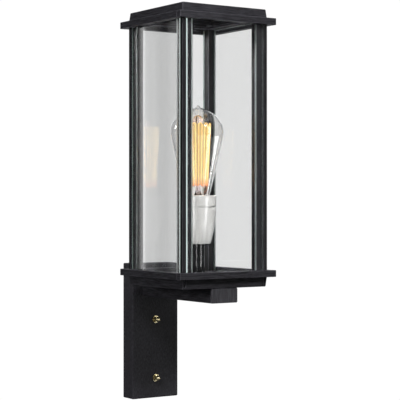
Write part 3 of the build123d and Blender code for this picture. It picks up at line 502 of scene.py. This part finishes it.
# %% Make the glasses
def clear_glass(name, tint, ripple, depth):
    """Clear glass of that tint, with that many ripples in a metre, that deep in metres."""
    made, tree, shader = finish(name)
    feed_all(shader, Base_Color=tint, Transmission_Weight=1.0, IOR=1.5, Roughness=0.0,
             Normal=bumps(tree, noise(tree, ripple, detail=2.0), depth, strength=0.4))
    through = add_node(tree, "BsdfTransparent", Color=tint)
    lamplight = add_node(tree, "LightPath").outputs["Is Shadow Ray"]
    both = blend_shaders(tree, lamplight, shader.outputs[0], through.outputs[0])
    feed_all(tree.nodes["Material Output"], Surface=both)
    return made


pane_glass = clear_glass("float_glass", (0.935, 0.938, 0.937), 3.0, 0.000002)
lamp_glass = clear_glass("blown_glass", (0.985, 0.98, 0.978), 30.0, 0.00002)
print("glasses:", pane_glass.name, lamp_glass.name)

# %% [markdown]
# ## Finishes onto the CAD pieces
# Each CAD node keeps its shape and gets the finish of its slot. Coated pieces are sorted by the way
# their metal was linished; the posts' coat is also far darker, as painted shade.

# %% Put the finishes on
COAT_BY_NAME = {"post_": "upright", "wall_plate": "plate", "arm_end_cap": "end", "stem_tube": "tube"}
FINISH_BY_SLOT = {
    "zinc_steel": zinc,
    "brass": brass,
    "clear_glass": pane_glass,
    "porcelain": porcelain,
    "rubber": rubber,
    "white_plastic": plastic,
    "lead_sheath": sheath,
    "lamp_glass": lamp_glass,
    "lamp_cap_metal": cap_metal,
    "lamp_insulator": insulator,
}


def coat_for(name):
    """The coat whose streaks run the way this node's metal was linished."""
    for start, coat in COAT_BY_NAME.items():
        if name.startswith(start):
            return coats[coat]
    return coats["level"]


for name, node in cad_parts.items():
    slot_name = node.data.materials[0].name.split(".")[0]
    made = coat_for(name) if slot_name == "black_coat" else FINISH_BY_SLOT.get(slot_name)
    if made is not None:
        node.data.materials[0] = made
print("finished nodes:", len(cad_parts))

# %% [markdown]
# ## How new pieces are made
# The lamp's glass, its stem and its wires are all round something, so most start as a ring of edges
# that is drawn up through stations of radius and height, which is how a glass blower's profile is
# drawn on paper. Two more helpers close a finished piece and smooth it. The last one hands it over:
# it rides on its CAD body, takes its finish, and stands in for the plain CAD solids.

# %% Helpers for new pieces
def start_ring(name, radius, place, sides, rotation=(0, 0, 0)):
    """A ring of edges as the start of a piece, left in edit mode with all of it selected."""
    bpy.ops.object.select_all(action="DESELECT")
    bpy.ops.mesh.primitive_circle_add(vertices=sides, radius=radius, location=place, rotation=rotation)
    piece = bpy.context.object
    piece.name = piece.data.name = name
    bpy.ops.object.transform_apply(location=True, rotation=True, scale=True)
    bpy.ops.object.mode_set(mode="EDIT")
    bpy.ops.mesh.select_all(action="SELECT")
    return piece


def draw_up(stations):
    """Draws the selected ring up through stations of (radius, height), the first being where it is."""
    for (below, low), (above, high) in zip(stations, stations[1:]):
        bpy.ops.mesh.extrude_edges_move(TRANSFORM_OT_translate={"value": (0, 0, high - low)})
        if above == 0:
            bpy.ops.mesh.merge(type="CENTER")
            break
        grow = above / below
        bpy.ops.transform.resize(value=(grow, grow, 1), center_override=(0, AXIS_Y, high))


def outside_out(piece):
    """Merges doubles, points the faces outwards and leaves edit mode."""
    bpy.ops.mesh.select_all(action="SELECT")
    bpy.ops.mesh.remove_doubles(threshold=0.00001)
    bpy.ops.mesh.normals_make_consistent(inside=False)
    bpy.ops.object.mode_set(mode="OBJECT")
    bpy.ops.object.shade_smooth()
    return piece


def smoothed(piece, levels):
    """Gives the piece a subdivision surface and applies it."""
    soft = piece.modifiers.new("soft", "SUBSURF")
    soft.levels = soft.render_levels = levels
    bpy.ops.object.modifier_apply(modifier=soft.name)
    return piece


def adopt(piece, body, slot, material, *nodes):
    """The piece rides on its body, takes its material, and stands for those CAD nodes; slot is not used."""
    piece.data.materials.clear()
    piece.data.materials.append(material)
    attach(piece, body)
    if nodes:
        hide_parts(*nodes)
    print(piece.name, "faces:", len(piece.data.polygons))


# %% [markdown]
# ## Lamp envelope
# The lamp is a pear of blown glass that grows out of the screw cap and closes in a small tip, where
# it was drawn off the pump. It could be a scaled sphere, but the long straight flank and the quick
# turn at the shoulder are what make it a pear. So its half outline is drawn as stations, turned,
# smoothed and then given its wall, inwards, so that the outside keeps its size.

# %% Blow the envelope
CAP_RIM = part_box("bulb_cap")[1].z
GLASS_WALL = 0.5 * MM
# radius and height above the cap's rim, in mm
PEAR = ((12.4, -5), (12.4, 0), (16.0, 11.5), (20.9, 32.5), (26.6, 58.5), (31.6, 79), (32.4, 87), (30.0, 96.5),
        (21.6, 107), (8.4, 113.6), (2.7, 115), (1.9, 117), (0, 118.1))
pear = [(radius * MM, CAP_RIM + height * MM) for radius, height in PEAR]
envelope = start_ring("lamp_envelope", pear[0][0], (0, AXIS_Y, pear[0][1]), sides=32)
draw_up(pear)
outside_out(envelope)
smoothed(envelope, levels=2)
wall = envelope.modifiers.new("wall", "SOLIDIFY")
wall.thickness, wall.offset = GLASS_WALL, -1
bpy.ops.object.modifier_apply(modifier=wall.name)
adopt(envelope, "lamp", "lamp_glass", lamp_glass, "bulb_glass")

# %% [markdown]
# ## Glass stem
# Inside, a flared glass tube is sealed to the neck and drawn out into a rod that ends in a button.
# The hooks that carry the filament are melted into the button above and into the rod below. It is
# solid glass, faintly smoky from the flame, and turned from stations like the envelope.

# %% Draw the stem
# radius and height above the cap's rim, in mm
STEM = ((11.2, -4.6), (10.6, -2), (6.4, 5), (3.6, 9.5), (2.2, 15), (2.1, 60), (2.2, 91), (3.2, 93.5),
        (6.6, 95.5), (7.2, 99), (6.0, 103), (3.2, 105.4), (0, 106))
stem_line = [(radius * MM, CAP_RIM + height * MM) for radius, height in STEM]
stem = start_ring("lamp_stem", stem_line[0][0], (0, AXIS_Y, stem_line[0][1]), sides=24)
bpy.ops.mesh.edge_face_add()
bpy.ops.mesh.select_mode(type="EDGE")
bpy.ops.mesh.select_all(action="SELECT")
draw_up(stem_line)
outside_out(stem)
smoothed(stem, levels=1)
stem_glass = clear_glass("smoky_stem_glass", (0.90, 0.79, 0.80), 60.0, 0.00004)
adopt(stem, "lamp", "lamp_glass", stem_glass, "bulb_stem")

# %% [markdown]
# ## Caged filament
# The filament is one long carbon thread, hung up and down round the stem like the bars of a cage.
# One hairpin is modelled: a ring of edges is drawn up along a strand, spun round the upper hook,
# drawn down the next strand and spun round the lower hook. The hairpin is then copied round the
# axis. The thread is drawn as thick as its glow makes it look. Looked at straight it is far too
# bright to show more than its colour, so its full strength is kept for what mirrors it.

# %% Bend the filament
HAIRPINS = 12
THREAD = 0.6 * MM  # the thread's radius
HEAD_Z, FOOT_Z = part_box("filament")[1].z - 1.5 * MM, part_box("filament")[0].z + 1 * MM
HEAD_REACH, FOOT_REACH = 15.6 * MM, 12.2 * MM  # from the lamp's axis
BEND_STEPS = 6
SEEN_STRENGTH, MIRRORED_STRENGTH = 1.4, 5.5
pitch = math.pi / HAIRPINS


def on_cage(reach, turn, height):
    """A point at that reach from the lamp's axis, turned round it."""
    return Vector((reach * math.cos(turn), AXIS_Y + reach * math.sin(turn), height))


def draw_to(start, end):
    """Draws the selected ring along a straight line."""
    bpy.ops.mesh.extrude_edges_move(TRANSFORM_OT_translate={"value": tuple(end - start)})


def spin_between(start, end, steps, way):
    """Spins the selected ring half a turn about the middle between two points."""
    middle = (start + end) / 2
    out = Vector((middle.x, middle.y - AXIS_Y, 0)).normalized()
    bpy.ops.mesh.spin(steps=steps, angle=way * math.pi, center=tuple(middle), axis=tuple(out))


strand_feet = [on_cage(FOOT_REACH, pitch * i, FOOT_Z) for i in range(3)]
strand_heads = [on_cage(HEAD_REACH, pitch * i, HEAD_Z) for i in range(2)]
filament = start_ring("lamp_filament", THREAD, strand_feet[0], sides=6)
draw_to(strand_feet[0], strand_heads[0])
spin_between(strand_heads[0], strand_heads[1], BEND_STEPS, 1)
draw_to(strand_heads[1], strand_feet[1])
spin_between(strand_feet[1], strand_feet[2], BEND_STEPS, -1)
bpy.ops.mesh.select_all(action="SELECT")
bpy.ops.mesh.spin(steps=HAIRPINS - 1, dupli=True, angle=2 * pitch * (HAIRPINS - 1),
                  center=(0, AXIS_Y, 0), axis=(0, 0, 1))
outside_out(filament)

glowing, tree, shader = finish("glowing_filament")
height = along(tree, "Z")
middle_glow = spread(tree, height, 0.0, 1.0, start=FOOT_Z - 3 * MM, end=FOOT_Z + 12 * MM)
middle_glow.node.interpolation_type = "SMOOTHSTEP"
strands = noise(tree, 1.0, detail=2.0, stretch=(420, 420, 34))
flicker = spread(tree, strands, 0.0, 1.0, start=0.36, end=0.64)
warm = blend_colours(tree, flicker, (0.95, 0.55, 0.17), (0.92, 0.76, 0.30))
bounces = add_node(tree, "LightPath").outputs["Glossy Depth"]
feed_all(shader,
         Emission_Color=blend_colours(tree, middle_glow, (0.62, 0.16, 0.03), warm),
         Emission_Strength=spread(tree, bounces, SEEN_STRENGTH, MIRRORED_STRENGTH, start=0, end=1),
         Base_Color=(0.2, 0.1, 0.04),
         Roughness=0.6)
adopt(filament, "lamp", "filament_glow", glowing, "filament")

# %% [markdown]
# ## Support hooks
# Molybdenum wires stand out from the button and the rod like the spokes of an umbrella, and each
# turns up or down at its end round one bend of the filament. One hook of each kind is drawn from a
# small ring, bent at its end by a spin, and copied round the stem.

# %% Bend the hooks
WIRE = 0.22 * MM  # the wire's radius
HOOK_TURN = 1.2 * MM


def hooks(name, root, reach, height, turn, way, count):
    """Spokes from root to reach at that height, each bent up (1) or down (-1) at its end."""
    out = Vector((math.cos(turn), math.sin(turn), 0))
    piece = start_ring(name, WIRE, (0, AXIS_Y, height), sides=6, rotation=(0, math.pi / 2, turn))
    bpy.ops.transform.translate(value=tuple(out * root))
    bpy.ops.mesh.extrude_edges_move(TRANSFORM_OT_translate={"value": tuple(out * (reach - root))})
    bend = Vector((0, AXIS_Y, height + way * HOOK_TURN)) + out * reach
    across = Vector((-math.sin(turn), math.cos(turn), 0))
    bpy.ops.mesh.spin(steps=4, angle=-way * math.pi / 2, center=tuple(bend), axis=tuple(across))
    bpy.ops.mesh.extrude_edges_move(TRANSFORM_OT_translate={"value": (0, 0, way * HOOK_TURN)})
    bpy.ops.mesh.select_all(action="SELECT")
    bpy.ops.mesh.spin(steps=count - 1, dupli=True, angle=2 * math.pi * (count - 1) / count,
                      center=(0, AXIS_Y, 0), axis=(0, 0, 1))
    bpy.ops.mesh.select_all(action="DESELECT")
    bpy.ops.mesh.select_non_manifold()
    bpy.ops.mesh.fill_holes(sides=6)
    return outside_out(piece)


hook_metal = metal("oxidised_support_wire", (0.30, 0.22, 0.18), (0.12, 0.08, 0.06), 0.35,
                   (3000, 3000, 3000), 0.00001)
upper_hooks = hooks("lamp_hooks_upper", root=5 * MM, reach=HEAD_REACH - THREAD, height=HEAD_Z + 1.2 * MM,
                    turn=pitch / 2, way=1, count=HAIRPINS)
lower_hooks = hooks("lamp_hooks_lower", root=1.5 * MM, reach=FOOT_REACH - THREAD, height=FOOT_Z - 0.8 * MM,
                    turn=1.5 * pitch, way=-1, count=HAIRPINS)
adopt(upper_hooks, "lamp", "lamp_cap_metal", hook_metal, "filament_supports")
adopt(lower_hooks, "lamp", "lamp_cap_metal", hook_metal, "filament_supports")

# %% [markdown]
# ## Glow
# A hot filament is surrounded by a halo: its light scatters in the glass, in the eye and in a lens,
# so that the cage looks filled with warm light. A renderer adds none of that to a scene. The halo
# could be added to the picture afterwards, but then the lamp would lose it from other sides, so a
# thin see-through cone of warm light stands inside the cage.

# %% Fill the cage with glow
GLOW_IN = 1.6 * MM  # how far the cone stays inside the cage
glow_line = [(FOOT_REACH - GLOW_IN, FOOT_Z), (HEAD_REACH - GLOW_IN, HEAD_Z),
             (HEAD_REACH * 0.6, HEAD_Z + 1.5 * MM), (0, HEAD_Z + 2 * MM)]
glow = start_ring("lamp_glow", glow_line[0][0], (0, AXIS_Y, FOOT_Z), sides=24)
bpy.ops.mesh.edge_face_add()
bpy.ops.mesh.select_mode(type="EDGE")
bpy.ops.mesh.select_all(action="SELECT")
draw_up(glow_line)
outside_out(glow)
halo, tree, shader = finish("warm_halo")
height = along(tree, "Z")
veil = spread(tree, noise(tree, 1.0, detail=2.0, stretch=(260, 260, 18)), 0.0, 1.0)
feed_all(shader,
         Base_Color=(0, 0, 0),
         Specular_IOR_Level=0.0,
         Emission_Color=blend_colours(tree, veil, (0.80, 0.48, 0.17), (0.95, 0.76, 0.34)),
         Emission_Strength=0.95,
         Alpha=spread(tree, height, 0.2, 0.6, start=FOOT_Z, end=FOOT_Z + 14 * MM))
glow.visible_diffuse = filament.visible_diffuse = False
adopt(glow, "lamp", "filament_glow", halo)

# %% [markdown]
# ## Glazing beads and cut edges
# Each pane lies in the rebates of two posts. A thin clear bead runs up the inner corner between the
# glass and each post, and the pane's own cut ends show in the joint beside the post's core. The cut
# ends get a painted pale green glow, an emission that is strongest at the corner nearest the lights
# and fades towards the far corners. Both are long thin bars: a cube is stretched to the bar's size in
# edit mode and its long edges are bevelled. Then its mirror image is added at the pane's other end,
# and the pair is turned from side to side.

# %% Run the beads and the edges
BEAD, BEAD_ROUNDING = 1.8 * MM, 0.7 * MM
EDGE_SKIN, EDGE_ROUNDING = 0.3 * MM, 0.1 * MM
EDGE_INSET = 0.5 * MM  # how far both stay inside the pane's outline
pane_low, pane_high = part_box("pane_front")
POST_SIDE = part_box("post_front_left")[1].x  # the post's side that faces along the glass
GLASS_IN = pane_high.y  # the glass's inner face


def bar(name, low, high, rounding):
    """A bar from its lowest to its highest corner, with its upright edges rounded."""
    middle = (low + high) / 2
    bpy.ops.object.select_all(action="DESELECT")
    bpy.ops.mesh.primitive_cube_add(size=1, location=middle)
    piece = bpy.context.object
    piece.name = piece.data.name = name
    bpy.ops.object.mode_set(mode="EDIT")
    bpy.ops.mesh.select_all(action="SELECT")
    bpy.ops.transform.resize(value=tuple(high - low), center_override=tuple(middle))
    bpy.ops.object.mode_set(mode="OBJECT")
    bpy.ops.object.transform_apply(location=True, rotation=True, scale=True)
    for edge in piece.data.edges:
        first, second = (piece.data.vertices[i].co for i in edge.vertices)
        edge.select = abs(first.z - second.z) > (high.z - low.z) / 2
    bpy.ops.object.mode_set(mode="EDIT")
    bpy.ops.mesh.select_mode(type="EDGE")
    bpy.ops.mesh.bevel(offset=rounding, segments=3)
    bpy.ops.object.mode_set(mode="OBJECT")
    bpy.ops.object.shade_smooth_by_angle(angle=math.radians(40))
    return piece


def round_the_lantern(piece):
    """Copies the piece to all four sides and joins the copies."""
    bpy.ops.object.mode_set(mode="EDIT")
    bpy.ops.mesh.select_all(action="SELECT")
    bpy.ops.mesh.spin(steps=3, dupli=True, angle=1.5 * math.pi, center=(0, AXIS_Y, 0), axis=(0, 0, 1))
    bpy.ops.object.mode_set(mode="OBJECT")
    return piece


def both_ends(name, low, high, rounding):
    """The bar and its mirror image at the other end of the pane, on all four sides."""
    first = bar(name, low, high, rounding)
    second = bar(name + "_far", Vector((-high.x, low.y, low.z)), Vector((-low.x, high.y, high.z)), rounding)
    bpy.ops.object.select_all(action="DESELECT")
    second.select_set(True)
    first.select_set(True)
    bpy.context.view_layer.objects.active = first
    bpy.ops.object.join()
    return round_the_lantern(first)


bead_low = Vector((POST_SIDE, GLASS_IN, pane_low.z + EDGE_INSET))
bead_high = Vector((POST_SIDE + BEAD, GLASS_IN + BEAD, pane_high.z - EDGE_INSET))
beads = both_ends("glazing_beads", bead_low, bead_high, BEAD_ROUNDING)
edge_low = Vector((pane_low.x - EDGE_SKIN, pane_low.y + EDGE_INSET, pane_low.z + EDGE_INSET))
edge_high = Vector((pane_low.x, pane_high.y - EDGE_INSET, pane_high.z - EDGE_INSET))
cut_edges = both_ends("pane_cut_edges", edge_low, edge_high, EDGE_ROUNDING)
# the painted glow of the cut edges is strongest at this corner, the one nearest the lights
PAINTED_GLOW_CORNER = Vector((pane_low.x, pane_low.y, 0))
PAINTED_GLOW_NEAR, PAINTED_GLOW_FAR = 0.01, 0.09  # metres from that corner, where the glow starts and ends its fall
PAINTED_GLOW_LEFT = 0.04  # the share of the glow that reaches the far corners


def cloudy_glass_with_painted_glow(name, colour, glow, through):
    """Cloudy glass with a painted glow, strongest at the corner nearest the lights, that lets that share of
    light through.
    """
    made, tree, shader = finish(name)
    cloud = noise(tree, 1.0, detail=3.0, stretch=(400, 400, 25))
    clouded = spread(tree, cloud, 0.0, 1.0)
    place = add_node(tree, "TexCoord").outputs["Object"]
    level = vector_arithmetic(tree, "MULTIPLY", place, (1, 1, 0))
    away = vector_arithmetic(tree, "DISTANCE", level, PAINTED_GLOW_CORNER)
    feed_all(shader,
             Base_Color=blend_colours(tree, clouded, [0.8 * c for c in colour], colour),
             Emission_Color=blend_colours(tree, clouded, [0.7 * c for c in colour], colour),
             # painted glow: full near the lit corner, fading with distance from it
             Emission_Strength=spread(tree, away, glow, glow * PAINTED_GLOW_LEFT, start=PAINTED_GLOW_NEAR, end=PAINTED_GLOW_FAR),
             Roughness=spread(tree, cloud, 0.25, 0.4),
             Transmission_Weight=through)
    return made


bead_glass = cloudy_glass_with_painted_glow("clear_glazing_bead", (0.50, 0.57, 0.55), glow=0.0, through=0.93)
# the cut edges' pale green shine is a painted glow, not light carried by the glass
painted_glow_edge_glass = cloudy_glass_with_painted_glow("pane_edge_painted_glow", (0.56, 0.66, 0.63), glow=1.4, through=0.0)
adopt(beads, "lantern", "clear_glass", bead_glass)
adopt(cut_edges, "lantern", "clear_glass", painted_glow_edge_glass)
